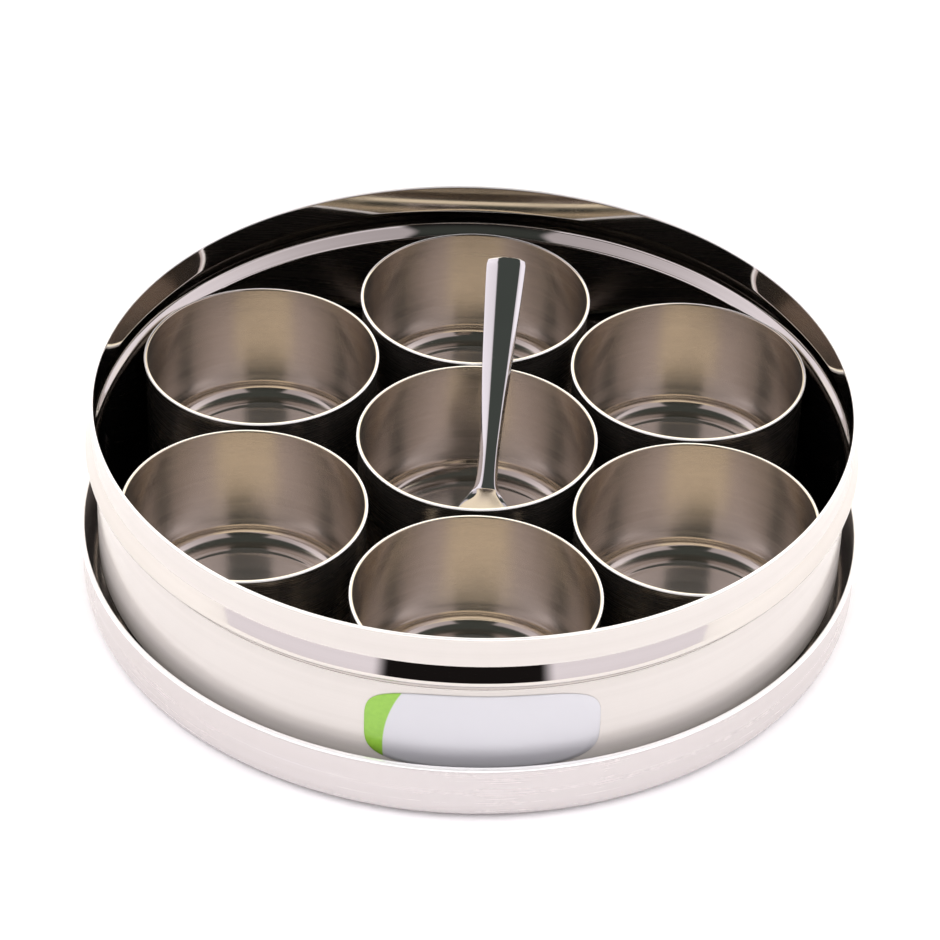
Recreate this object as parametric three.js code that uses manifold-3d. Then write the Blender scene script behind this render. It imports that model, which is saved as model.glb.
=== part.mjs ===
// Round stainless steel spice box, shown open: the box stands in its own upturned lid.
// Seven loose cups stand in the box and a small spoon leans in the middle cup.
// Millimetres, +Z up. The origin is on the lid's axis, at the level the lid rests on.

import * as THREE from "three";
import { mergeVertices } from "three/addons/utils/BufferGeometryUtils.js";
import { ParametricGeometry } from "three/addons/geometries/ParametricGeometry.js";
import Module from "manifold-3d";

const wasm = await Module();
wasm.setup();

// ---- driving dimensions -------------------------------------------------------------

const REST_GAP = 0.3;          // left between two pieces that rest on each other

const LID_RADIUS = 102.2;      // outside of the lid's wall
const LID_RIM_RADIUS = 102.7;  // outside of the lid's rolled rim
const LID_RIM_HEIGHT = 1.2;    // the rolled rim takes this much of the height
const LID_HEIGHT = 17.6;
const LID_SHEET = 0.7;
const LID_CORNER = 5;          // outer radius where the lid's wall meets its top
const LID_PANEL_RADIUS = 91;   // the recessed panel in the lid's top
const LID_PANEL_STEP = 2;
const PANEL_SLOPE = 2;         // how far the step round a pressed panel runs outwards

const BOX_RADIUS = 98;         // outside of the box's lower wall
const BOX_SHEET = 0.6;
const BOX_CORNER = 8.6;        // outer radius where the box's wall meets its base
const BOX_FOOT_RADIUS = 86.5;  // inner edge of the ring that the box stands on
const BOX_PANEL_STEP = 2.6;    // the base inside that ring is pressed up by this much
const BEAD_RADIUS = 100.4;     // the pressed bead that stops the lid
const BEAD_ROUND = 0.5;        // the bead's lower edge is this much narrower
const BEAD_BOTTOM = 39.2;      // heights above the origin
const BEAD_LOWER_EDGE = 41.2;
const BEAD_WIDEST = 42.6;
const BEAD_TOP = 47.1;
const COLLAR_RADIUS = 98.7;    // the plain collar that the lid slides over
const COLLAR_SHEET = 0.7;
const COLLAR_ROUND = 0.2;      // its upper edges are broken by this much
const BOX_TOP = 55.7;

const CUP_RADIUS = 30.9;       // outside of a cup's wall
const CUP_RIM_RADIUS = 31.5;
const CUP_SHEET = 0.5;
const CUP_CORNER = 5;
const CUP_HEIGHT = 35.2;
const CUP_RIM_HEIGHT = 1.2;

const CUP_PLACES = {
  cup_center: [1.2, 0.4],
  cup_front: [2.3, -64.5],
  cup_front_right: [57.6, -30.8],
  cup_rear_right: [57.2, 33.3],
  cup_rear: [-0.5, 63.9],
  cup_rear_left: [-57.2, 33.3],
  cup_front_left: [-57.3, -31.8],
};

const SPOON_SHEET = 1.5;       // thickness of the handle
const SPOON_BOWL_DEPTH = 3.6;
const SPOON_BOWL_SHARE = 0.42; // the bowl takes this share of the spoon's stations
const SPOON_TURN = -4;         // degrees, seen from above, from pointing straight back
const SPOON_SIDEWAYS = 4.7;    // where the handle crosses the rim, right of the cup's middle
const SPOON_RIM_LIFT = 1.5;    // height of the handle's middle above the rim it leans on

const LABEL_WIDTH = 58;
const LABEL_BOTTOM = 14;
const LABEL_TOP = 37.2;
const LABEL_CORNER = 9;
const LABEL_FILM = 0.25;
const LABEL_GAP = 0.25;
const LABEL_OFFSET = 5;        // the middle of the label, sideways
const LABEL_MARGIN = 1;        // the ring that it is cut from is this much taller
const LABEL_DEPTH = 118;       // and the cut reaches this far forwards

const ROUND_SEGMENTS = 60;
const CUP_SEGMENTS = 32;
const SPOON_SEGMENTS = 12;
const CORNER_STEPS = 4;
const CUP_CORNER_STEPS = 3;

// ---- heights that follow from them --------------------------------------------------

const LID_FLOOR = LID_PANEL_STEP + LID_SHEET;
const BOX_BASE = LID_FLOOR + REST_GAP;
const BOX_FLOOR = BOX_BASE + BOX_PANEL_STEP + BOX_SHEET;
const CUP_BASE = BOX_FLOOR + REST_GAP;

// ---- materials ----------------------------------------------------------------------

function steel(name, color, roughness) {
  return new THREE.MeshStandardMaterial({ name, color, roughness, metalness: 1 });
}

const boxSteel = steel("box_steel", 0xc9c3be, 0.28);
const lidSteel = steel("lid_steel", 0xc6bfbc, 0.32);
const cupSteel = steel("cup_steel", 0xb5a794, 0.3);
const spoonSteel = steel("spoon_steel", 0xcfcbca, 0.12);
const labelFilm = new THREE.MeshStandardMaterial({
  name: "label_film",
  color: 0xc4c4ca,
  roughness: 0.35,
  metalness: 0.4,
});

// ---- helpers ------------------------------------------------------------------------

// Points on a circular arc in the (radius, height) plane, angles in degrees.
function arc(centreRadius, centreHeight, radius, from, to, steps) {
  const points = [];
  for (let i = 0; i <= steps; i++) {
    const angle = THREE.MathUtils.degToRad(from + ((to - from) * i) / steps);
    const r = centreRadius + radius * Math.cos(angle);
    const z = centreHeight + radius * Math.sin(angle);
    points.push(new THREE.Vector2(r, z));
  }
  return points;
}

function point(radius, height) {
  return new THREE.Vector2(radius, height);
}

// The outside of a rim rolled outwards: four points from the wall up to the rim's top.
function rolledRim(wallRadius, rimRadius, top, height) {
  const bottom = top - height;
  const [low, high] = [0.3, 0.8];
  return [
    point(wallRadius, bottom),
    point(rimRadius, bottom + low * height),
    point(rimRadius, bottom + high * height),
    point(wallRadius, top),
  ];
}

// A closed geometry with shared vertices and without triangles of no area.
function weld(geometry) {
  geometry.deleteAttribute("normal");
  geometry.deleteAttribute("uv");
  const merged = mergeVertices(geometry, 1e-4);
  const index = merged.getIndex().array;
  const kept = [];
  for (let i = 0; i < index.length; i += 3) {
    const [a, b, c] = [index[i], index[i + 1], index[i + 2]];
    if (a !== b && b !== c && c !== a) {
      kept.push(a, b, c);
    }
  }
  merged.setIndex(kept);
  return merged;
}

// Turns a profile that starts and ends on the axis into a solid standing along +Z.
function turned(profile, segments) {
  const geometry = new THREE.LatheGeometry(profile, segments);
  geometry.rotateX(Math.PI / 2);
  return weld(geometry);
}

function toManifold(geometry) {
  const vertProperties = new Float32Array(geometry.getAttribute("position").array);
  const triVerts = new Uint32Array(geometry.getIndex().array);
  return new wasm.Manifold(new wasm.Mesh({ numProp: 3, vertProperties, triVerts }));
}

function fromManifold(solid) {
  const mesh = solid.getMesh();
  const geometry = new THREE.BufferGeometry();
  geometry.setAttribute("position", new THREE.BufferAttribute(mesh.vertProperties, 3));
  geometry.setIndex(new THREE.BufferAttribute(mesh.triVerts, 1));
  return geometry;
}

function named(name, geometry, material) {
  geometry.computeVertexNormals();
  const mesh = new THREE.Mesh(geometry, material);
  mesh.name = name;
  return mesh;
}

// ---- lid ----------------------------------------------------------------------------

// The lid lies upside down: its recessed top faces the ground and its rim is open upwards.
function makeLid() {
  const inside = LID_RADIUS - LID_SHEET;
  const cornerRadius = LID_RADIUS - LID_CORNER;
  const profile = [
    point(0, LID_PANEL_STEP),
    point(LID_PANEL_RADIUS, LID_PANEL_STEP),
    point(LID_PANEL_RADIUS + PANEL_SLOPE, 0),
    ...arc(cornerRadius, LID_CORNER, LID_CORNER, -90, 0, CORNER_STEPS),
    ...rolledRim(LID_RADIUS, LID_RIM_RADIUS, LID_HEIGHT, LID_RIM_HEIGHT),
    point(inside, LID_HEIGHT),
    ...arc(cornerRadius, LID_CORNER, LID_CORNER - LID_SHEET, 0, -90, CORNER_STEPS),
    point(LID_PANEL_RADIUS + PANEL_SLOPE, LID_SHEET),
    point(LID_PANEL_RADIUS, LID_FLOOR),
    point(0, LID_FLOOR),
  ];
  return named("lid", turned(profile, ROUND_SEGMENTS), lidSteel);
}

// ---- box ----------------------------------------------------------------------------

// A deep drawn pan with a pressed foot ring, a bead for the lid to stop on and a collar.
function makeBox() {
  const inside = BOX_RADIUS - BOX_SHEET;
  const cornerRadius = BOX_RADIUS - BOX_CORNER;
  const collarInside = COLLAR_RADIUS - COLLAR_SHEET;
  const bend = BOX_BASE + BOX_CORNER;
  const profile = [
    point(0, BOX_BASE + BOX_PANEL_STEP),
    point(BOX_FOOT_RADIUS - PANEL_SLOPE, BOX_BASE + BOX_PANEL_STEP),
    point(BOX_FOOT_RADIUS, BOX_BASE),
    ...arc(cornerRadius, bend, BOX_CORNER, -90, 0, CORNER_STEPS),
    point(BOX_RADIUS, BEAD_BOTTOM),
    point(BEAD_RADIUS - BEAD_ROUND, BEAD_LOWER_EDGE),
    point(BEAD_RADIUS, BEAD_WIDEST),
    point(COLLAR_RADIUS, BEAD_TOP),
    point(COLLAR_RADIUS, BOX_TOP - COLLAR_ROUND),
    point(COLLAR_RADIUS - COLLAR_ROUND, BOX_TOP),
    point(collarInside + COLLAR_ROUND, BOX_TOP),
    point(collarInside, BOX_TOP - COLLAR_ROUND),
    point(collarInside, BEAD_TOP),
    point(BEAD_RADIUS - BOX_SHEET, BEAD_WIDEST),
    point(BEAD_RADIUS - BEAD_ROUND - BOX_SHEET, BEAD_LOWER_EDGE + BEAD_ROUND),
    point(inside, BEAD_BOTTOM + BEAD_ROUND),
    ...arc(cornerRadius, bend, BOX_CORNER - BOX_SHEET, 0, -90, CORNER_STEPS),
    point(BOX_FOOT_RADIUS, BOX_BASE + BOX_SHEET),
    point(BOX_FOOT_RADIUS - PANEL_SLOPE, BOX_FLOOR),
    point(0, BOX_FLOOR),
  ];
  return named("box_body", turned(profile, ROUND_SEGMENTS), boxSteel);
}

// ---- cups ---------------------------------------------------------------------------

// One straight-sided cup with a small rolled rim, standing on z = 0.
function makeCupGeometry() {
  const inside = CUP_RADIUS - CUP_SHEET;
  const cornerRadius = CUP_RADIUS - CUP_CORNER;
  const profile = [
    point(0, 0),
    ...arc(cornerRadius, CUP_CORNER, CUP_CORNER, -90, 0, CUP_CORNER_STEPS),
    ...rolledRim(CUP_RADIUS, CUP_RIM_RADIUS, CUP_HEIGHT, CUP_RIM_HEIGHT),
    point(inside, CUP_HEIGHT),
    ...arc(cornerRadius, CUP_CORNER, CUP_CORNER - CUP_SHEET, 0, -90, CUP_CORNER_STEPS),
    point(0, CUP_SHEET),
  ];
  return turned(profile, CUP_SEGMENTS);
}

function makeCups() {
  const geometry = makeCupGeometry();
  return Object.entries(CUP_PLACES).map(([name, [x, y]]) => {
    const cup = named(name, geometry, cupSteel);
    cup.position.set(x, y, CUP_BASE);
    return cup;
  });
}

// ---- spoon --------------------------------------------------------------------------

// The spoon's middle line and half width: distance back from the cup's rim, height above
// the point where the handle crosses the rim, and half width. From the bowl's tip upwards.
const SPOON_STATIONS = [
  [-44.9, -34.2, 0],
  [-44.4, -34.0, 3.4],
  [-42.6, -32.8, 6.4],
  [-39.6, -30.7, 8.5],
  [-35.6, -27.7, 8.9],
  [-31.6, -24.6, 6.9],
  [-28.2, -21.9, 4.0],
  [-25.4, -19.8, 2.9],
  [-19.0, -14.9, 2.7],
  [-9.0, -7.1, 3.3],
  [0, 0, 4.0],
  [11.0, 8.6, 4.7],
  [20.4, 15.8, 5.2],
  [22.9, 17.7, 5.1],
  [23.8, 18.3, 4.3],
  [24.0, 18.5, 0],
];

// A stamped sheet: each section is a flat oval as wide as the station says, set square to
// the middle line, and in the bowl its middle is pressed down.
function makeSpoon() {
  const stations = SPOON_STATIONS.map(([back, up, half]) => new THREE.Vector3(back, up, half));
  const line = new THREE.CatmullRomCurve3(stations, false, "centripetal");
  const last = SPOON_STATIONS.length - 1;
  const nearby = 1 / (4 * last);
  const surface = (around, along, target) => {
    const here = line.getPoint(along);
    const ahead = line.getPoint(Math.min(1, along + nearby));
    const behind = line.getPoint(Math.max(0, along - nearby));
    const slope = Math.atan2(ahead.y - behind.y, ahead.x - behind.x);
    const half = Math.max(0, here.z);
    const turn = -2 * Math.PI * around;
    const across = half * Math.cos(turn);
    const ends = Math.min(1, half / SPOON_SHEET);
    const share = Math.min(1, along / SPOON_BOWL_SHARE);
    const dish = SPOON_BOWL_DEPTH * Math.sin(Math.PI * share) * Math.sin(turn) ** 2;
    const lift = (SPOON_SHEET / 2) * ends * Math.sin(turn) - dish * ends;
    target.set(across, here.x - lift * Math.sin(slope), here.y + lift * Math.cos(slope));
  };
  const geometry = weld(new ParametricGeometry(surface, SPOON_SEGMENTS, last * 2));
  const spoon = named("spoon", geometry, spoonSteel);
  const [cupX, cupY] = CUP_PLACES.cup_center;
  const rimBack = Math.sqrt((CUP_RADIUS - CUP_SHEET) ** 2 - SPOON_SIDEWAYS ** 2);
  const rimTop = CUP_BASE + CUP_HEIGHT;
  spoon.rotation.z = THREE.MathUtils.degToRad(SPOON_TURN);
  spoon.position.set(cupX + SPOON_SIDEWAYS, cupY + rimBack, rimTop + SPOON_RIM_LIFT);
  return spoon;
}

// ---- label --------------------------------------------------------------------------

// A plain sticker: the part of a thin ring round the box's wall that lies behind a
// rounded outline seen from the front.
function makeLabel() {
  const low = BOX_RADIUS + LABEL_GAP;
  const high = low + LABEL_FILM;
  const [bottom, top] = [LABEL_BOTTOM - LABEL_MARGIN, LABEL_TOP + LABEL_MARGIN];
  const ringProfile = [
    point(low, bottom),
    point(high, bottom),
    point(high, top),
    point(low, top),
    point(low, bottom),
  ];
  const outline = new THREE.Shape();
  const left = LABEL_OFFSET - LABEL_WIDTH / 2;
  const right = LABEL_OFFSET + LABEL_WIDTH / 2;
  const r = LABEL_CORNER;
  outline.moveTo(left + r, LABEL_BOTTOM);
  outline.lineTo(right - r, LABEL_BOTTOM);
  outline.absarc(right - r, LABEL_BOTTOM + r, r, -Math.PI / 2, 0, false);
  outline.absarc(right - r, LABEL_TOP - r, r, 0, Math.PI / 2, false);
  outline.absarc(left + r, LABEL_TOP - r, r, Math.PI / 2, Math.PI, false);
  outline.absarc(left + r, LABEL_BOTTOM + r, r, Math.PI, Math.PI * 1.5, false);
  const prism = new THREE.ExtrudeGeometry(outline, {
    depth: LABEL_DEPTH,
    bevelEnabled: false,
    curveSegments: 5,
  });
  prism.rotateX(Math.PI / 2);
  const ring = toManifold(turned(ringProfile, ROUND_SEGMENTS));
  const patch = ring.intersect(toManifold(weld(prism)));
  return named("label", fromManifold(patch), labelFilm);
}

// ---- the whole object ---------------------------------------------------------------

const group = new THREE.Group();
group.add(makeLid(), makeBox(), makeLabel(), ...makeCups(), makeSpoon());

export default group;
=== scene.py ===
# %% [markdown]
# # A steel spice box, open and standing in its own lid
#
# The object is a round box of thin stainless steel with loose cups and a small spoon.
# Every piece is pressed or turned sheet, so almost everything here is a profile turned
# round an axis. What makes steel look like steel is what it mirrors, so half of the work
# is the light: pale panels at the sides, a warm sweep behind and a dark gap in front.
#
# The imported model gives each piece's outer size and place. It is loaded first and never
# moved.

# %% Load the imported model
import math

import bpy
import numpy as np
from mathutils import Matrix, Vector


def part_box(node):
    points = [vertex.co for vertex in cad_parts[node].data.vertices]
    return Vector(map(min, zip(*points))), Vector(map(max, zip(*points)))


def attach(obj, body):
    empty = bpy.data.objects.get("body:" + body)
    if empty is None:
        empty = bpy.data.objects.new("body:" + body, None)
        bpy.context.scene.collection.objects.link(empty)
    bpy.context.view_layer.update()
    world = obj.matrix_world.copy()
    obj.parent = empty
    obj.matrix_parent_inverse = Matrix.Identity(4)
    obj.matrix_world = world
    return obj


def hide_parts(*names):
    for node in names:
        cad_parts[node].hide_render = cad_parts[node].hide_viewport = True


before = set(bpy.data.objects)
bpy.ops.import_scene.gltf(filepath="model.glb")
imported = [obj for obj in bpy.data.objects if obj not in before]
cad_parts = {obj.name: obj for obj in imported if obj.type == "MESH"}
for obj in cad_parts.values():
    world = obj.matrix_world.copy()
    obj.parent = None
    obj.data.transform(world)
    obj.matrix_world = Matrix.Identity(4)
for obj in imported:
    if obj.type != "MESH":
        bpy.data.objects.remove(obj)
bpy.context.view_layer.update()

# %% [markdown]
# ## Millimetres and the frame
#
# Blender works in metres here, but sheet metal is thought of in millimetres. So profiles
# are written in millimetres and turned into metres once, when the mesh is made. The
# rims, heights and places follow from them.

# %% Sizes read from the frame
MM = 0.001


def corners_mm(node):
    """Lowest and highest corner of a CAD node at rest, in millimetres."""
    low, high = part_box(node)
    return np.array(low) / MM, np.array(high) / MM


lid_low, lid_high = corners_mm("lid")
box_low, box_high = corners_mm("box_body")
cup_low, cup_high = corners_mm("cup_center")
cup_names = [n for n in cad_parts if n.startswith("cup_")]
print("cups", cup_names)
print("lid top", lid_high[2], "box", box_low[2], box_high[2], "cup", cup_low[2], cup_high[2])

# %% [markdown]
# ## The camera
#
# A low box shows its inside from well above the rim, and a long lens keeps its circles
# calm ellipses. The camera looks at a point just in front of the middle, from 37 degrees
# up, and it is rolled by two degrees.

# %% Camera
CAMERA_TARGET = np.array([-0.33, -14.3, 41.6])
CAMERA_DISTANCE = 934.0
CAMERA_RISE = math.radians(37.37)
CAMERA_ROLL = math.radians(2.0)
CAMERA_LENS = 138.88
CAMERA_SENSOR = 36
CAMERA_REACH = 20      # metres to the far clipping plane


def add_object(name, data):
    """A new object in the scene, at the origin."""
    made = bpy.data.objects.new(name, data)
    bpy.context.scene.collection.objects.link(made)
    return made


def make_camera():
    """Look from the target back along the view line, then roll about that line."""
    forward = Vector((0.0, math.cos(CAMERA_RISE), -math.sin(CAMERA_RISE)))
    level = Vector((1.0, 0.0, 0.0))
    above = level.cross(forward)
    right = level * math.cos(CAMERA_ROLL) + above * math.sin(CAMERA_ROLL)
    upward = above * math.cos(CAMERA_ROLL) - level * math.sin(CAMERA_ROLL)
    place = (Vector(CAMERA_TARGET) - forward * CAMERA_DISTANCE) * MM
    camera = add_object("camera", bpy.data.cameras.new("camera"))
    columns = [right, upward, -forward]
    turn = Matrix([[column[i] for column in columns] for i in range(3)])
    camera.matrix_world = Matrix.Translation(place) @ turn.to_4x4()
    camera.data.lens = CAMERA_LENS
    camera.data.sensor_width = CAMERA_SENSOR
    camera.data.clip_end = CAMERA_REACH
    bpy.context.scene.camera = camera
    return place


print("camera at", [round(v, 3) for v in make_camera()])

# %% [markdown]
# ## Turned sheet
#
# A spinning lathe or a press makes each pan from one disc. In Blender the Screw modifier
# could turn a profile, but then the polished and the brushed zones would need painting
# afterwards. Here the profile carries a third number, how polished the steel is at that
# point, and numpy turns the whole profile at once. Below satin the same number also makes
# the colour darker as painted shade, and above mirror it makes the colour whiter as a
# painted highlight. The profile runs from the axis under the piece, up the outside, over
# the rim and down the inside, back to the axis, so the result is one closed sheet with a
# real thickness. Where two runs almost meet, the short facet between them eases the corner.

# %% Profiles
ROUGH_SHADED = -0.3          # rougher steel, its colour darkened as painted shade in the gaps between cups
SATIN = 0.0            # brushed with fine lines
RUBBED = 0.2           # brushed and worn by hands and by the other piece
PRESSED = 0.5          # pressed against a smooth tool
BUFFED = 0.7
BURNISHED = 0.9
LINING = 0.97          # the inside of the box, nearly a mirror
MIRROR = 1.0
SHEEN_FLOOR = 1.08          # a mirror floor, its colour lightened part way to white as a painted sheen
HIGHLIGHT_EDGE = 1.2             # an edge whose colour is painted near-white and matt as a painted highlight
SAME_POINT = 1e-4      # points closer than this, in millimetres, are one


def arc(centre_r, centre_z, radius, start, end, steps, polish_and_painted_light):
    """Points at equal angles on a circle, in degrees, with the same polish and painted light
    everywhere.
    """
    angle = np.radians(np.linspace(start, end, steps + 1))
    r = centre_r + radius * np.cos(angle)
    z = centre_z + radius * np.sin(angle)
    return np.stack([r, z, np.full_like(r, polish_and_painted_light)], axis=1)


def run(r0, z0, r1, z1, steps, polish_and_painted_light, bow=0.0):
    """A straight run of points, bowed to its left by a half sine wave."""
    t = np.linspace(0, 1, steps + 1)
    side = np.array([z0 - z1, r1 - r0]) / math.hypot(r1 - r0, z1 - z0)
    bulge = bow * np.sin(math.pi * t)
    r = r0 + (r1 - r0) * t + bulge * side[0]
    z = z0 + (z1 - z0) * t + bulge * side[1]
    return np.stack([r, z, np.full_like(r, polish_and_painted_light)], axis=1)


def join(*parts):
    """One profile from several, without the points that two neighbours share."""
    points = np.vstack(parts)
    step = np.hypot(*np.diff(points[:, :2], axis=0).T)
    keep = np.concatenate([[True], step > SAME_POINT])
    return points[keep]


# %% The turning function
def closed_faces(rows, cols):
    """Quads of a grid closed round its columns, and a fan of triangles at each end.

    The grid's points come first, row by row, then the point before the first row and the
    point after the last row.
    """
    i, j = np.meshgrid(np.arange(rows - 1), np.arange(cols), indexing="ij")
    k = (j + 1) % cols
    quads = np.stack([i * cols + j, i * cols + k, (i + 1) * cols + k, (i + 1) * cols + j], axis=2)
    side = np.arange(cols)
    after = (side + 1) % cols
    first = np.stack([np.full(cols, rows * cols), after, side], axis=1)
    last_row = (rows - 1) * cols
    last = np.stack([np.full(cols, rows * cols + 1), last_row + side, last_row + after], axis=1)
    return quads.reshape(-1, 4).tolist() + first.tolist() + last.tolist()


def turn(name, profile, segments, centre=(0.0, 0.0)):
    """Turn a profile (radius, height, polish and painted light) about a vertical axis.

    Point (i, j) is at radius r_i and angle 2 pi j / segments. The two ends
    on the axis become single points closed by triangles. The UV map holds the angle as a
    share of a turn and the distance along the profile in millimetres.
    """
    angle = np.linspace(0, 2 * math.pi, segments, endpoint=False)
    inner = profile[1:-1]
    x = centre[0] + inner[:, :1] * np.cos(angle)
    y = centre[1] + inner[:, :1] * np.sin(angle)
    z = np.broadcast_to(inner[:, 1:2], x.shape)
    rings = np.stack([x, y, z], axis=2).reshape(-1, 3)
    ends = np.array([[*centre, profile[0, 1]], [*centre, profile[-1, 1]]])
    points = np.vstack([rings, ends]) * MM

    rows, cols = len(inner), segments
    mesh = bpy.data.meshes.new(name)
    mesh.from_pydata(points.tolist(), [], closed_faces(rows, cols))

    length = np.concatenate([[0], np.cumsum(np.hypot(*np.diff(profile[:, :2], axis=0).T))])
    along = length[1:-1]
    i, j = np.meshgrid(np.arange(rows - 1), np.arange(cols), indexing="ij")
    side = np.arange(cols)
    u0, u1 = j / cols, (j + 1) / cols
    quad_u = np.stack([u0, u1, u1, u0], axis=2)
    quad_v = np.stack([along[i], along[i], along[i + 1], along[i + 1]], axis=2)
    middle = (side + 0.5) / cols
    low_u = np.stack([middle, (side + 1) / cols, side / cols], axis=1)
    low_v = np.stack([np.zeros(cols), np.full(cols, along[0]), np.full(cols, along[0])], axis=1)
    high_u = np.stack([middle, side / cols, (side + 1) / cols], axis=1)
    high_v = np.stack([np.full(cols, length[-1]), *[np.full(cols, along[-1])] * 2], axis=1)
    u = np.concatenate([quad_u.ravel(), low_u.ravel(), high_u.ravel()])
    v = np.concatenate([quad_v.ravel(), low_v.ravel(), high_v.ravel()])
    layer = mesh.uv_layers.new(name="turning")
    layer.data.foreach_set("uv", np.stack([u, v], axis=1).ravel())

    polish_and_painted_light = mesh.attributes.new("polish_and_painted_light", "FLOAT", "POINT")
    value = np.concatenate([np.repeat(inner[:, 2], cols), [profile[0, 2], profile[-1, 2]]])
    polish_and_painted_light.data.foreach_set("value", value.astype(np.float32))
    mesh.shade_smooth()
    print(name, "triangles", 2 * rows * cols)
    return add_object(name, mesh)


def hand_over(piece, body, node, material):
    """Say what the piece rides on, stands for and is made of."""
    piece.data.materials.append(material)
    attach(piece, body)
    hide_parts(node)
    return piece


# %% [markdown]
# ## Shader maths as plain sums
#
# A steel finish is a few numbers that change over the surface: how rough, how tinted and
# how scratched it is. Wiring Math nodes by hand hides the formula. The small class below
# wraps a socket, so that `0.3 - polish * 0.2` adds the right nodes by itself.

# %% Wires and finishes
class Wire:
    """A node's output that can be used in sums, differences and products."""

    def __init__(self, finish, socket):
        self.finish = finish
        self.socket = socket

    def maths(self, operation, first, second):
        return self.finish.node("ShaderNodeMath", {0: first, 1: second}, operation=operation)

    def __add__(self, other):
        return self.maths("ADD", self, other)

    def __sub__(self, other):
        return self.maths("SUBTRACT", self, other)

    def __rsub__(self, other):
        return self.maths("SUBTRACT", other, self)

    def __mul__(self, other):
        return self.maths("MULTIPLY", self, other)

    __radd__ = __add__


class Finish:
    """A node tree (of a material or the world) with one way to add any node."""

    def __init__(self, tree):
        self.tree = tree
        tree.nodes.clear()

    def node(self, kind, inputs=None, output=0, **settings):
        """Add a node, make its settings, then fill or link its sockets."""
        made = self.tree.nodes.new(kind)
        for key, value in settings.items():
            setattr(made, key, value)
        for key, value in (inputs or {}).items():
            if isinstance(value, Wire):
                self.tree.links.new(value.socket, made.inputs[key])
            else:
                made.inputs[key].default_value = value
        return Wire(self, made.outputs[output]) if len(made.outputs) else None

    def soft_step(self, value, low, high):
        """0 below low, 1 above high, and an S-curve between them."""
        sockets = {"Value": value, "From Min": low, "From Max": high}
        return self.node("ShaderNodeMapRange", sockets, interpolation_type="SMOOTHSTEP")

    def blend(self, share, low, high, how="MIX"):
        """A colour between two, each of which may be a wire."""
        low, high = (c if isinstance(c, Wire) else (*c, 1) for c in (low, high))
        sockets = {"Factor": share, "A": low, "B": high}
        return self.node("ShaderNodeMix", sockets, output=2, data_type="RGBA", blend_type=how)

    def bump(self, height, strength, distance):
        """A normal disturbed by a height, of which 1 stands for a distance in millimetres."""
        sockets = {"Height": height, "Strength": strength, "Distance": distance * MM}
        return self.node("ShaderNodeBump", sockets)

    def feed(self, shader, wires):
        """Link wires to the named sockets of a shader that is already there."""
        for key, wire in wires.items():
            self.tree.links.new(wire.socket, shader.inputs[key])


def new_finish(name):
    """A material's finish, its Principled shader and the node that ends the tree."""
    material = bpy.data.materials.new(name)
    material.use_nodes = True
    finish = Finish(material.node_tree)
    shader = finish.node("ShaderNodeBsdfPrincipled")
    finish.node("ShaderNodeOutputMaterial", {"Surface": shader})
    return material, finish, shader.socket.node


# %% [markdown]
# ## Steel
#
# The pans are buffed while they spin. That leaves hair-fine lines round the piece, so a
# highlight is smeared along the axis and stays sharp round it: anisotropic roughness,
# turned by a quarter. The lines themselves are noise read along the profile only. Where
# the piece was pressed against a polished tool or buffed bright, the profile's third number
# is 1 and the steel mirrors. Below satin that number makes the steel rougher and darkens its
# colour as painted shade. Above mirror it turns the colour near-white and matt as a painted
# highlight. The brushed wall of the box also scatters much of its light evenly, the
# lid's wall less and the cups almost none, so each steel has its own matt share. Finger
# marks are a slow, faint noise in space.

# %% Steel finish
LINE_WIDTH = 0.22      # millimetres from one buffing line to the next
BAND_WIDTH = 2.6       # slower unevenness of the buffing
BAND_ROUGHNESS = 0.10  # how much bands, lines and finger marks change the roughness
LINE_ROUGHNESS = 0.08
MARK_ROUGHNESS = 0.035
MARK_SPAN = (0.42, 0.72)
GAP_SHADE_SHARE = 0.5     # how much of the buffed colour the rough outer cup walls keep: painted shade for the gaps between cups
# near-white colour of painted highlights on edges, and in part of a painted sheen on cup floors
HIGHLIGHT_WHITE = (0.93, 0.92, 0.91)
HIGHLIGHT_MATT = 0.6        # the share of light that a painted-highlight edge scatters
LINE_RELIEF = 0.02     # millimetres
QUARTER_TURN = 0.25
WHITE = (1, 1, 1)


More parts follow.
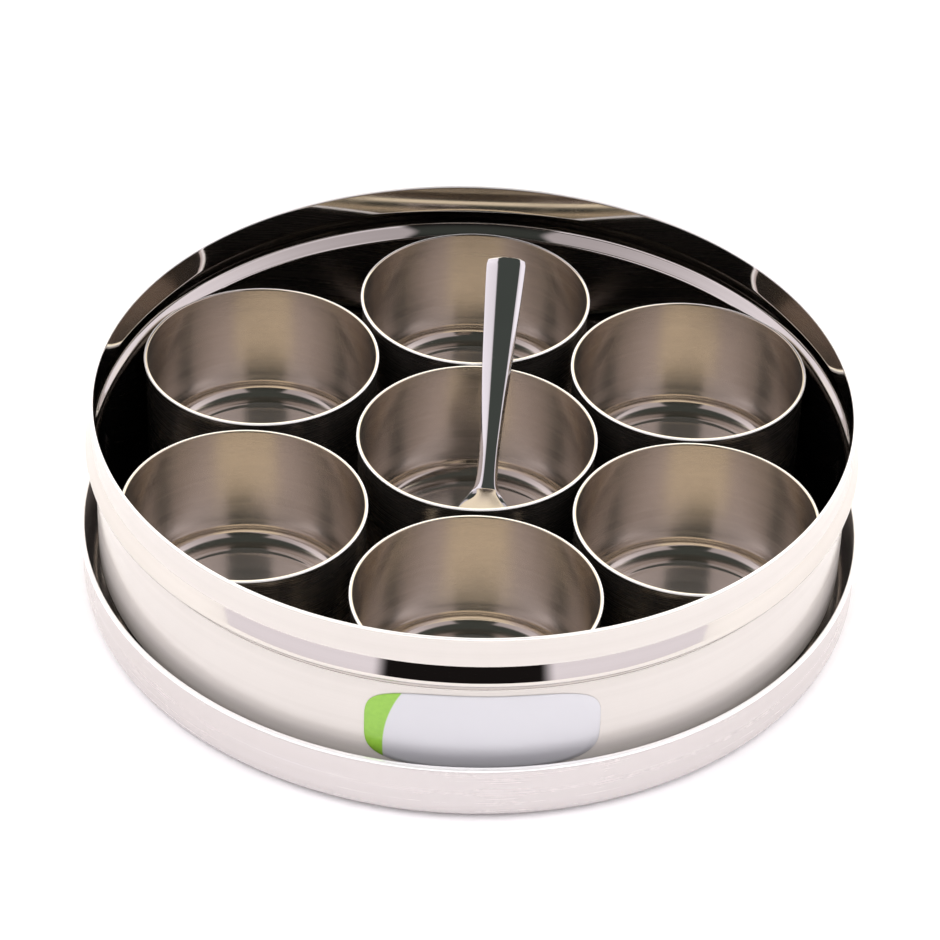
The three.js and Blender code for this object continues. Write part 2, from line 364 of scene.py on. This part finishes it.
def steel(name, dull, bright, satin, mirror, drawn, matt):
    """Roughness goes from satin to mirror with the polish; lines and smudges vary it.

    Brushed steel has a matt share that scatters light evenly, so it is less metallic there.
    Steel rougher than satin is darkened as painted shade for the gaps between cups. Steel past
    a mirror turns near-white and matt: a painted highlight on edges, and in part a painted sheen
    on cup floors.
    """
    material, finish, shader = new_finish(name)
    place = finish.node("ShaderNodeTexCoord", output="Object")
    turning = finish.node("ShaderNodeUVMap", uv_map="turning")
    along = finish.node("ShaderNodeSeparateXYZ", {0: turning}, output=1)
    polish_and_painted_light = finish.node("ShaderNodeAttribute", output="Fac", attribute_name="polish_and_painted_light")
    brushed = 1 - finish.node("ShaderNodeMath", {0: polish_and_painted_light, 1: 1.0}, operation="MINIMUM")
    fine = finish.node(
        "ShaderNodeTexNoise",
        {"W": along, "Scale": 1 / LINE_WIDTH, "Detail": 2.0, "Roughness": 0.7},
        noise_dimensions="1D",
    )
    bands = finish.node(
        "ShaderNodeTexNoise",
        {"W": along, "Scale": 1 / BAND_WIDTH, "Detail": 3.0, "Roughness": 0.6},
        noise_dimensions="1D",
    )
    smudge = finish.node(
        "ShaderNodeTexNoise",
        {"Vector": place, "Scale": 38.0, "Detail": 4.0, "Roughness": 0.62, "Distortion": 0.6},
    )
    marks = finish.soft_step(smudge, *MARK_SPAN)
    rough = mirror + brushed * (satin - mirror)
    rough = rough + (bands - 0.5) * brushed * BAND_ROUGHNESS
    rough = rough + (fine - 0.5) * brushed * LINE_ROUGHNESS
    rough = rough + marks * MARK_ROUGHNESS
    clean = bands * 0.5 + fine * 0.2 + 0.15 + smudge * 0.3
    # painted highlight: edges, and in part the cup floors, turn near-white and matt
    painted_highlight = finish.soft_step(polish_and_painted_light, MIRROR, HIGHLIGHT_EDGE)
    # painted shade: the cups' rough outer walls are darkened for the gaps between cups
    gap_shade = 1 - finish.soft_step(polish_and_painted_light, ROUGH_SHADED, SATIN)
    gap_shade_tint = finish.blend(gap_shade, WHITE, (GAP_SHADE_SHARE,) * 3)
    toned_shaded_steel = finish.blend(1.0, finish.blend(clean, dull, bright), gap_shade_tint, how="MULTIPLY")
    scattering = finish.soft_step(brushed, 0.0, 1.0) * matt + painted_highlight * painted_highlight * HIGHLIGHT_MATT
    height = (fine * 0.6 + bands * 0.4) * brushed + smudge * 0.05
    finish.feed(shader, {
        "Base Color": finish.blend(painted_highlight, toned_shaded_steel, HIGHLIGHT_WHITE),
        "Roughness": rough,
        "Metallic": 1 - scattering,
        "Normal": finish.bump(height, 0.06, LINE_RELIEF),
    })
    shader.inputs["Anisotropic"].default_value = drawn
    shader.inputs["Anisotropic Rotation"].default_value = QUARTER_TURN
    return material


box_steel = steel("box_steel", (0.56, 0.525, 0.49), (0.68, 0.645, 0.61), 0.18, 0.03, 0.2, 0.9)
lid_steel = steel("lid_steel", (0.56, 0.52, 0.505), (0.66, 0.62, 0.61), 0.24, 0.05, 0.3, 0.45)
cup_steel = steel("cup_steel", (0.53, 0.475, 0.42), (0.69, 0.63, 0.57), 0.21, 0.04, 0.3, 0.03)
print("steel finishes made")

# %% [markdown]
# ## The lid, upside down
#
# The lid is a shallow pan with a recessed top. Here it lies on that top, so the recess is
# the raised panel in its floor. Its edge is rolled outwards into a thin bead. Turning the
# profile is enough: the only soft shapes are its corner and the bead.

# %% Lid
PAN_SEGMENTS = 288
LID_SHEET = 0.7
LID_CORNER = 5.0
LID_PANEL = 91.0       # radius where the raised panel begins to slope down
LID_SLOPE = 1.6        # width of that slope
LID_EASE = 0.6         # width of the eased edge above and below it
LID_STEP = 2.0         # height of the panel over the ring round it
LID_BEAD = 0.55        # radius of the rolled edge
LID_BEAD_REACH = 0.5   # how far the rolled edge stands out from the wall
EASE_TOP = 0.3         # how far a slope begins under the raised face
EASE_FOOT = 0.2        # and ends above the lower one


def lid_profile():
    """Panel, step, flat ring, corner, wall, rolled bead, and the same again inside."""
    rim = lid_high[0]
    wall = rim - LID_BEAD_REACH
    top = lid_high[2]
    inside = wall - LID_SHEET
    corner = wall - LID_CORNER
    bead_z = top - LID_BEAD
    panel_edge = LID_PANEL - LID_EASE
    slope_foot = LID_PANEL + LID_SLOPE
    ring = slope_foot + LID_EASE
    panel_top = LID_STEP + LID_SHEET
    return join(
        run(0, LID_STEP, panel_edge, LID_STEP, 12, PRESSED),
        run(LID_PANEL, LID_STEP - EASE_TOP, slope_foot, EASE_FOOT, 4, PRESSED),
        run(ring, 0, corner, 0, 3, 0.3),
        arc(corner, LID_CORNER, LID_CORNER, -90, 0, 14, SATIN),
        run(wall, LID_CORNER, wall, bead_z - 0.8, 22, SATIN),
        # bead and inner lip: painted highlight
        arc(wall - 0.05, bead_z, LID_BEAD, -60, 90, 12, HIGHLIGHT_EDGE),
        arc(inside + 0.3, top - 0.3, 0.3, 90, 180, 5, HIGHLIGHT_EDGE),
        run(inside, top - 0.4, inside, LID_CORNER, 16, RUBBED),
        arc(corner, LID_CORNER, LID_CORNER - LID_SHEET, 0, -90, 12, PRESSED),
        run(corner, LID_SHEET, ring, LID_SHEET, 2, BUFFED),
        run(slope_foot, LID_SHEET + EASE_FOOT, LID_PANEL, panel_top - EASE_TOP, 4, BUFFED),
        run(panel_edge, panel_top, 0, panel_top, 12, BUFFED),
    )


lid = turn("lid_pan", lid_profile(), PAN_SEGMENTS)
hand_over(lid, "lid", "lid", lid_steel)

# %% [markdown]
# ## The box
#
# The box is drawn deep in one stroke, then a bead is rolled into its wall and its edge is
# folded back on itself for strength. Between the bead and the edge is a plain collar, and
# the closed lid's wall goes outside it. The bead's upper side is a sloping band that is
# buffed bright: it mirrors the room, while the brushed wall under it scatters the light.

# %% Box
BOX_SHEET = 0.6
BOX_CORNER = 8.6
BOX_FOOT = 86.5        # inner radius of the flat ring that the box stands on
BOX_STEP = 2.6         # height of the raised base inside that ring
BASE_EDGE = BOX_FOOT - 2.4
SLOPE_TOP = BOX_FOOT - 1.8
SLOPE_FOOT = BOX_FOOT - 0.4
COLLAR = 98.7
COLLAR_SHEET = 0.7
BEAD_LOW = 38.9        # heights where the bead begins, is widest and ends
BEAD_WIDE = 42.7
BEAD_HIGH = 47.06
BEAD_ROUND = 1.5
BEAD_FOOT = 0.8        # radius of the hollow between the wall and the bead
WALL = 98.0


def swell(r0, z0, r1, z1, steps, polish_and_painted_light):
    """From one radius to another along half a cosine wave, smooth at both ends."""
    t = np.linspace(0, 1, steps + 1)
    r = r0 + (r1 - r0) * (0.5 - 0.5 * np.cos(math.pi * t))
    return np.stack([r, z0 + (z1 - z0) * t, np.full_like(r, polish_and_painted_light)], axis=1)


def box_profile():
    """Panel, foot ring, corner, wall, bead, collar and folded rim, then the inside."""
    base = box_low[2]
    bead = box_high[0]
    top = box_high[2]
    inside = WALL - BOX_SHEET
    corner = WALL - BOX_CORNER
    centre_z = base + BOX_CORNER
    collar_in = COLLAR - COLLAR_SHEET
    fold = COLLAR_SHEET / 2
    nose = arc(bead - BEAD_ROUND, BEAD_WIDE, BEAD_ROUND, -40, 21, 14, MIRROR)
    raised = base + BOX_STEP
    floor = base + BOX_SHEET
    raised_floor = raised + BOX_SHEET
    return join(
        run(0, raised, BASE_EDGE, raised, 12, PRESSED),
        run(SLOPE_TOP, raised - EASE_TOP, SLOPE_FOOT, base + EASE_FOOT, 4, PRESSED),
        run(BOX_FOOT, base, corner, base, 2, PRESSED),
        arc(corner, centre_z, BOX_CORNER, -90, 0, 18, BURNISHED),
        run(WALL, centre_z + 0.3, WALL, BEAD_LOW - 0.2, 36, SATIN),
        arc(WALL + BEAD_FOOT, BEAD_LOW, BEAD_FOOT, 180, 140, 5, BURNISHED),
        nose,
        run(nose[-1, 0], nose[-1, 1], COLLAR + 0.06, BEAD_HIGH, 10, MIRROR),
        run(COLLAR, BEAD_HIGH + 0.15, COLLAR, top - fold - 0.5, 12, 0.1),
        # folded rim: painted highlight
        arc(COLLAR - fold, top - fold, fold, 0, 180, 12, HIGHLIGHT_EDGE),
        run(collar_in, top - fold - 0.5, collar_in, BEAD_HIGH + 1.2, 10, LINING),
        swell(collar_in, BEAD_HIGH + 1.0, bead - BOX_SHEET, BEAD_WIDE, 16, MIRROR),
        swell(bead - BOX_SHEET, BEAD_WIDE, inside, BEAD_LOW - 0.6, 16, MIRROR),
        run(inside, BEAD_LOW - 1.0, inside, centre_z, 30, LINING),
        arc(corner, centre_z, BOX_CORNER - BOX_SHEET, 0, -90, 16, LINING),
        run(BOX_FOOT, floor, BOX_FOOT - 0.2, floor, 1, LINING),
        run(SLOPE_FOOT, floor + EASE_FOOT, SLOPE_TOP, raised_floor - EASE_TOP, 4, LINING),
        run(BASE_EDGE, raised_floor, 0, raised_floor, 12, LINING),
    )


box = turn("box_pan", box_profile(), PAN_SEGMENTS)
hand_over(box, "box", "box_body", box_steel)

# %% [markdown]
# ## The cups
#
# All cups come from one tool, so one profile serves them all and a loop sets each at its
# node's place. Inside, the wall is brushed and the floor is a mirror, its colour lightened
# part way to white as a painted sheen. Outside, the wall is rougher and its colour is
# darkened as painted shade for the gaps between the cups. A shallow ring is pressed into
# the floor to keep the sheet from drumming, and the edge is rolled over and painted
# near-white as a painted highlight.

# %% Cups
CUP_SEGMENTS = 192
CUP_SHEET = 0.42
CUP_CORNER = 5.0
CUP_ROLL = 0.34        # radius of the rolled edge
CUP_ROLL_REACH = 0.5   # how far it stands out from the wall
CUP_BASE_POLISH = 0.8
FLOOR_RING = 23.6      # radius inside which the floor is raised
FLOOR_RISE = 0.28
FLOOR_BOW = -0.18      # to the profile's right, so the floor bows up halfway to its middle


def cup_profile(base, top, rim):
    """Floor, corner, wall, rolled edge, wall, corner, pressed ring and floor again."""
    wall = rim - CUP_ROLL_REACH
    inside = wall - CUP_SHEET
    corner = wall - CUP_CORNER
    centre_z = base + CUP_CORNER
    floor = base + CUP_SHEET
    raised = floor + FLOOR_RISE
    roll_z = top - CUP_ROLL
    return join(
        run(0, base + 0.25, FLOOR_RING, base + 0.25, 8, CUP_BASE_POLISH),
        run(FLOOR_RING + 1, base, corner, base, 2, CUP_BASE_POLISH),
        # outer corner and wall: rougher, with painted shade for the gaps between cups
        arc(corner, centre_z, CUP_CORNER, -90, 0, 12, ROUGH_SHADED),
        run(wall, centre_z, wall, roll_z - 0.75, 16, ROUGH_SHADED),
        arc(rim - CUP_ROLL, roll_z, CUP_ROLL, -70, -20, 4, SATIN),
        # rolled edge: painted highlight
        arc(rim - CUP_ROLL, roll_z, CUP_ROLL, 0, 90, 8, HIGHLIGHT_EDGE),
        arc(inside + 0.2, top - 0.2, 0.2, 90, 180, 4, MIRROR),
        run(inside, top - 0.4, inside, centre_z, 20, SATIN),
        arc(corner, centre_z, CUP_CORNER - CUP_SHEET, 0, -90, 14, 0.6),
        # floor: a mirror, with a painted sheen that lightens its colour part way to white
        run(corner - 0.3, floor, FLOOR_RING + 1.2, floor, 2, SHEEN_FLOOR),
        run(FLOOR_RING + 0.8, floor + 0.06, FLOOR_RING, raised - 0.06, 2, SHEEN_FLOOR),
        run(FLOOR_RING - 0.4, raised, 0, raised, 16, SHEEN_FLOOR, bow=FLOOR_BOW),
    )


for name in cup_names:
    low, high = corners_mm(name)
    middle = (low + high) / 2
    profile = cup_profile(low[2], high[2], (high[0] - low[0]) / 2)
    cup = turn(name + "_pan", profile, CUP_SEGMENTS, centre=middle[:2])
    hand_over(cup, name, name, cup_steel)

# %% [markdown]
# ## The spoon
#
# The spoon is stamped from thicker sheet: a handle that grows wider to a square end, a
# narrow neck and a round bowl. It leans on the cup's rim, with the bowl low in the cup. A
# curve with a taper object could sweep a section along it, but the bowl needs the section
# to sag as well. So each station gives the place of the middle line and the half width,
# and numpy lays a flat oval across it. The handle's oval is raised to a flat face with a
# bevel on each side, and the bowl's is sunk.

# %% Spoon shape
# Each station is (distance behind the cup's rim, height above the rim, half width).
SPOON_STATIONS = np.array([
    [-44.9, -34.2, 0.0],
    [-44.4, -34.0, 3.4],
    [-42.6, -32.8, 6.4],
    [-39.6, -30.7, 8.5],
    [-35.6, -27.7, 8.9],
    [-31.6, -24.6, 6.9],
    [-28.2, -21.9, 4.0],
    [-25.4, -19.8, 2.9],
    [-19.0, -14.9, 2.7],
    [-9.0, -7.1, 3.3],
    [0.0, 0.0, 4.0],
    [11.0, 8.6, 4.7],
    [20.4, 15.8, 5.2],
    [22.7, 17.5, 5.1],
    [23.5, 18.05, 4.3],
    [23.7, 18.2, 0.0],
])
SPOON_SHEET = 0.8
SPOON_CROWN = 1.0      # the handle's face stands this far above its edges
SPOON_SINK = 0.55      # and its edges lie this far under the middle line
LEFT_BEVEL = 0.64      # widths of the bevels beside the face, as shares of the half width
RIGHT_BEVEL = 0.24
SPOON_DISH = 3.6       # depth of the bowl
SPOON_TURN = math.radians(-4)
SPOON_SIDEWAYS = 4.7   # the handle crosses the rim this far right of the cup's middle
SPOON_REST = 0.85      # and this far inside the cup's widest edge
SPOON_LIFT = 1.5
SPOON_OVAL = 0.8       # power of the section's oval: 1 is an ellipse, less is squarer
SPOON_ROWS = 241
SPOON_COLUMNS = 48
BOWL_SHARE = 0.42      # the share of the rows, from the tip, that the bowl's dish takes
HANDLE_POWER = 8       # how late along that share the handle's face begins to rise


def flowing(stations, count):
    """Catmull-Rom: each span is a cubic that leaves a station along its neighbours' chord."""
    padded = np.vstack([2 * stations[0] - stations[1], stations, 2 * stations[-1] - stations[-2]])
    t = np.linspace(0, len(stations) - 1, count)
    span = np.minimum(t.astype(int), len(stations) - 2)
    f = (t - span)[:, None]
    a, b, c, d = (padded[span + k] for k in range(4))
    curve = 2 * b + (c - a) * f + (2 * a - 5 * b + 4 * c - d) * f**2
    return 0.5 * (curve + (3 * b - a - 3 * c + d) * f**3)


def spoon_points(along, around):
    """Grid of points: rows along the middle line, columns round the section."""
    line = flowing(SPOON_STATIONS, along)
    slope = np.gradient(line[:, :2], axis=0)
    slope /= np.hypot(slope[:, 0], slope[:, 1])[:, None]
    half = np.maximum(line[:, 2], 0)[:, None]
    ends = np.minimum(1, half / SPOON_SHEET)
    turn_angle = np.linspace(0, 2 * math.pi, around, endpoint=False)[None, :]
    cosine = np.cos(turn_angle)
    across = half * np.sign(cosine) * np.abs(cosine) ** SPOON_OVAL
    share = np.minimum(1, np.linspace(0, 1, along) / BOWL_SHARE)[:, None]
    bowl = np.sin(math.pi * share)
    side = across / np.maximum(half, 1e-6)
    face = np.minimum(1, np.minimum((side + 1) / LEFT_BEVEL, (1 - side) / RIGHT_BEVEL))
    crown = (SPOON_CROWN * face - SPOON_SINK) * share**HANDLE_POWER
    sag = SPOON_DISH * bowl * (1 - side**2)
    lift = (SPOON_SHEET / 2 * np.sin(turn_angle) + crown - sag) * ends
    back = line[:, :1] - lift * slope[:, 1:2]
    up = line[:, 1:2] + lift * slope[:, :1]
    return np.stack([across, back, up], axis=2)


def make_spoon():
    """Close the grid at both ends and set the handle on the cup's rim.

    The section runs the other way round than a turned profile's, so each face is reversed.
    """
    grid = spoon_points(SPOON_ROWS, SPOON_COLUMNS)
    points = np.vstack([grid[1:-1].reshape(-1, 3), grid[[0, -1], 0]])
    cos, sin = math.cos(SPOON_TURN), math.sin(SPOON_TURN)
    x = points[:, 0] * cos - points[:, 1] * sin
    y = points[:, 0] * sin + points[:, 1] * cos
    middle = (cup_low + cup_high) / 2
    rim = (cup_high[0] - cup_low[0]) / 2 - SPOON_REST
    foot = [middle[0] + SPOON_SIDEWAYS, middle[1] + math.sqrt(rim**2 - SPOON_SIDEWAYS**2)]
    turned = np.stack([x, y, points[:, 2]], axis=1) + [*foot, cup_high[2] + SPOON_LIFT]
    faces = [f[:1] + f[:0:-1] for f in closed_faces(SPOON_ROWS - 2, SPOON_COLUMNS)]
    mesh = bpy.data.meshes.new("spoon_blank")
    mesh.from_pydata((turned * MM).tolist(), [], faces)
    mesh.shade_smooth()
    return add_object("spoon_blank", mesh)


# %% [markdown]
# Spoon steel is polished in a drum, so it has no lines, only fine scuffs in every
# direction. A distorted noise in space is enough for those.

# %% Spoon finish
SCUFF_DEPTH = 0.03     # millimetres


def spoon_finish():
    """Mirror steel: roughness rises a little where the scuffs are."""
    material, finish, shader = new_finish("spoon_steel")
    place = finish.node("ShaderNodeTexCoord", output="Object")
    scuffs = finish.node(
        "ShaderNodeTexNoise",
        {"Vector": place, "Scale": 420.0, "Detail": 5.0, "Roughness": 0.7, "Distortion": 1.5},
    )
    cloud = finish.node("ShaderNodeTexNoise", {"Vector": place, "Scale": 60.0, "Detail": 2.0})
    worn = finish.soft_step(scuffs, 0.5, 0.75)
    finish.feed(shader, {
        "Base Color": finish.blend(cloud, (0.74, 0.72, 0.71), (0.84, 0.83, 0.82)),
        "Roughness": 0.05 + worn * 0.08 + cloud * 0.04,
        "Normal": finish.bump(scuffs + cloud, 0.15, SCUFF_DEPTH),
    })
    shader.inputs["Metallic"].default_value = 1.0
    return material


spoon = hand_over(make_spoon(), "spoon", "spoon", spoon_finish())
print("spoon faces", len(spoon.data.polygons))

# %% [markdown]
# ## The label
#
# A sticker is a thin film with a soft edge, bent round the wall. It could be a plane with
# a Shrinkwrap, but a rounded outline is easier to give as a formula: a superellipse. The
# film is a stack of such outlines, from its middle out to its edge and back.

# %% Label shape
LABEL_FILM = 0.14      # thickness
LABEL_GAP = 0.06
LABEL_SQUARE = 4.0     # the superellipse's power: 2 is an ellipse, more is squarer
LABEL_RINGS = 13       # outlines on each face of the film
LABEL_COLUMNS = 160
LABEL_EDGE = 1.004     # the outermost outline, which stands between the two faces
LABEL_EDGE_DEPTH = 0.6 # and its share of the film's thickness


def make_label():
    """Superellipse |x/a|^n + |z/b|^n = 1, shrunk to its middle, bent round the wall."""
    low, high = corners_mm("label")
    middle = (low + high) / 2
    half = (high - low) / 2
    outwards = np.linspace(0, 1, LABEL_RINGS + 1)[1:]
    inwards = np.linspace(1, 0, LABEL_RINGS + 1)[:-1]
    reach = np.concatenate([outwards, [LABEL_EDGE], inwards])
    depth = np.concatenate([np.zeros(LABEL_RINGS), [LABEL_EDGE_DEPTH], np.ones(LABEL_RINGS)])
    angle = np.linspace(0, 2 * math.pi, LABEL_COLUMNS, endpoint=False)
    power = 2 / LABEL_SQUARE
    flat_x = np.outer(reach, np.sign(np.cos(angle)) * np.abs(np.cos(angle)) ** power) * half[0]
    flat_z = np.outer(reach, np.sign(np.sin(angle)) * np.abs(np.sin(angle)) ** power) * half[2]
    bend = (middle[0] + flat_x) / WALL
    radius = WALL + LABEL_GAP + depth[:, None] * LABEL_FILM
    x, y = radius * np.sin(bend), -radius * np.cos(bend)
    rings = np.stack([x, y, middle[2] + flat_z], axis=2).reshape(-1, 3)
    centre_bend = middle[0] / WALL
    centre = np.array([[math.sin(centre_bend), -math.cos(centre_bend), 0.0]])
    backs = centre * (WALL + LABEL_GAP) + [0, 0, middle[2]]
    fronts = centre * (WALL + LABEL_GAP + LABEL_FILM) + [0, 0, middle[2]]
    points = np.vstack([rings, backs, fronts]) * MM
    mesh = bpy.data.meshes.new("label_film")
    mesh.from_pydata(points.tolist(), [], closed_faces(len(reach), LABEL_COLUMNS))
    mesh.update()
    layer = mesh.uv_layers.new(name="flat")
    corner = np.empty(len(mesh.loops), dtype=np.int32)
    mesh.loops.foreach_get("vertex_index", corner)
    flat = np.vstack([np.stack([flat_x, flat_z], axis=2).reshape(-1, 2), np.zeros((2, 2))])
    layer.data.foreach_set("uv", flat[corner].ravel())
    mesh.shade_smooth()
    return add_object("label_film", mesh)


# %% [markdown]
# The film is printed: silver grey, with a plain green band at its left end. It has no
# words or marks. Its print is read from the flat outline's own millimetres.

# %% Label finish
BAND_CENTRE = (10.0, -6.0, 0.0)    # of the circular edge between silver and green
BAND_SPAN = (34.2, 34.6)           # radii between which the colour changes
GRAIN_DEPTH = 0.01


def label_finish():
    """Green where x is left of a circular edge, silver elsewhere, under a clear coat."""
    material, finish, shader = new_finish("label_film")
    flat = finish.node("ShaderNodeUVMap", uv_map="flat")
    reach = finish.node(
        "ShaderNodeVectorMath", {0: flat, 1: BAND_CENTRE}, output="Value", operation="DISTANCE"
    )
    place = finish.node("ShaderNodeTexCoord", output="Object")
    grain = finish.node("ShaderNodeTexNoise", {"Vector": place, "Scale": 900.0, "Detail": 2.0})
    cloud = finish.node("ShaderNodeTexNoise", {"Vector": place, "Scale": 25.0, "Detail": 1.0})
    green = finish.soft_step(reach, *BAND_SPAN)
    silver = finish.blend(cloud, (0.54, 0.54, 0.57), (0.60, 0.60, 0.63))
    leaf = finish.blend(grain, (0.20, 0.42, 0.03), (0.27, 0.52, 0.05))
    finish.feed(shader, {
        "Base Color": finish.blend(green, silver, leaf),
        "Roughness": 0.30 + grain * 0.12,
        "Metallic": 0.20 - green * 0.15,
        "Normal": finish.bump(grain, 0.1, GRAIN_DEPTH),
    })
    shader.inputs["Coat Weight"].default_value = 0.4
    shader.inputs["Coat Roughness"].default_value = 0.1
    return material


label = hand_over(make_label(), "box", "label", label_finish())
print("label faces", len(label.data.polygons))

# %% [markdown]
# ## Floor and light
#
# Polished steel shows its surroundings, so the light is drawn as surroundings: pale
# panels at the sides, a dark gap in front between them, a warm sweep behind and a dim
# ceiling. The world's colour is worked out from the direction alone. Four lamps that
# mirrors don't see, one overhead and three in front and at the sides, brighten the floor
# and the brushed walls and give the floor a soft shadow.

# %% Floor
FLOOR_REACH = 0.8      # metres from the middle to each side


def make_floor():
    """A square sheet of pale card."""
    mesh = bpy.data.meshes.new("floor")
    signs = [(-1, -1), (1, -1), (1, 1), (-1, 1)]
    mesh.from_pydata([(x * FLOOR_REACH, y * FLOOR_REACH, 0) for x, y in signs], [], [(0, 1, 2, 3)])
    floor = add_object("floor", mesh)
    material, finish, shader = new_finish("floor_card")
    place = finish.node("ShaderNodeTexCoord", output="Object")
    grain = finish.node("ShaderNodeTexNoise", {"Vector": place, "Scale": 300.0, "Detail": 2.0})
    color = finish.blend(grain, (0.90, 0.895, 0.90), (0.93, 0.925, 0.93))
    finish.feed(shader, {"Base Color": color})
    shader.inputs["Roughness"].default_value = 0.8
    shader.inputs["Specular IOR Level"].default_value = 0.1
    mesh.materials.append(material)


make_floor()

# %% Light
FRONT_EDGE = -math.cos(math.radians(22))
REAR_EDGE = math.cos(math.radians(58))
PANEL_TOP = math.sin(math.radians(58))
SWEEP_TOP = math.sin(math.radians(50))
PANEL = (1.12, 1.05, 1.14)
PANEL_UPPER_FRONT = (0.56, 0.51, 0.54)
SWEEP_SIDES = (1.62, 1.52, 1.26)
SWEEP_MIDDLE = (1.72, 1.60, 1.34)
ROOM = (0.012, 0.010, 0.010)
CEILING = (0.060, 0.068, 0.062)
BACKDROP = (1.0, 1.0, 1.0)

# Each span is where a change begins and where it is complete, in `ahead`, y or height z.
FRONT_SPAN = (FRONT_EDGE - 0.015, FRONT_EDGE + 0.015)
REAR_SPAN = (REAR_EDGE - 0.1, REAR_EDGE + 0.1)
REAR_HEIGHTS = (0.12, 0.35)        # below these the panels meet behind the object
PANEL_HEIGHTS = (PANEL_TOP - 0.04, PANEL_TOP + 0.04)
FADING_HEIGHTS = (0.15, 0.5)
FADING_SPAN = (-1.0, 0.3)
SWEEP_SPAN = (0.45, 0.97)
SWEEP_DEPTH = (0.05, 0.25)
SWEEP_HEIGHTS = (SWEEP_TOP, 0.95)
CEILING_HEIGHTS = (0.2, 0.9)


def make_world():
    """Colour from the direction: panels at the sides, a sweep behind, dark in front.

    `ahead` is the cosine of the angle from straight back, seen from above: 1 behind the
    object, -1 in front of it. Both panels fade towards the front where they are high.
    """
    world = bpy.data.worlds.new("studio")
    world.use_nodes = True
    bpy.context.scene.world = world
    finish = Finish(world.node_tree)
    step, blend = finish.soft_step, finish.blend
    direction = finish.node("ShaderNodeTexCoord", output="Generated")
    y = finish.node("ShaderNodeSeparateXYZ", {0: direction}, output=1)
    z = finish.node("ShaderNodeSeparateXYZ", {0: direction}, output=2)
    level = finish.node("ShaderNodeVectorMath", {0: direction, 1: (1, 1, 0)}, operation="MULTIPLY")
    flat = finish.node("ShaderNodeVectorMath", {0: level}, output="Value", operation="LENGTH")
    ahead = finish.node("ShaderNodeMath", {0: y, 1: flat}, operation="DIVIDE")
    beside = step(ahead, *FRONT_SPAN) * (1 - step(ahead, *REAR_SPAN) * step(z, *REAR_HEIGHTS))
    under = 1 - step(z, *PANEL_HEIGHTS)
    fading = step(z, *FADING_HEIGHTS) * (1 - step(ahead, *FADING_SPAN))
    panel = blend(fading, PANEL, PANEL_UPPER_FRONT)
    sweep = blend(step(ahead, *SWEEP_SPAN), SWEEP_SIDES, SWEEP_MIDDLE)
    behind = step(y, *SWEEP_DEPTH) * (1 - step(z, *SWEEP_HEIGHTS))
    room = blend(step(z, *CEILING_HEIGHTS), ROOM, CEILING)
    around = blend(beside * under, blend(behind, room, sweep), panel)
    seen = finish.node("ShaderNodeLightPath", output="Is Camera Ray")
    color = blend(seen, around, BACKDROP)
    shade = finish.node("ShaderNodeBackground", {"Color": color, "Strength": 1.0})
    finish.node("ShaderNodeOutputWorld", {"Surface": shade})


def make_lamp(name, size, energy, place):
    """A square lamp aimed at the object that lights matt surfaces but isn't mirrored."""
    lamp = bpy.data.lights.new(name, "AREA")
    lamp.shape = "SQUARE"
    lamp.size = size
    lamp.energy = energy
    lamp.color = (1.0, 0.99, 1.0)
    holder = add_object(name, lamp)
    holder.location = place
    holder.rotation_euler = Vector(place).to_track_quat("Z", "Y").to_euler()
    holder.visible_glossy = False


make_world()
make_lamp("overhead", 1.4, 4, (0.0, 0.1, 1.3))
make_lamp("front_fill", 0.8, 5, (0.0, -0.75, 0.85))
make_lamp("left_fill", 0.8, 5, (-0.75, -0.25, 0.9))
make_lamp("right_fill", 0.8, 5, (0.75, -0.25, 0.9))
bpy.context.scene.view_settings.view_transform = "Standard"
bpy.context.scene.view_settings.look = "None"
print("light made")
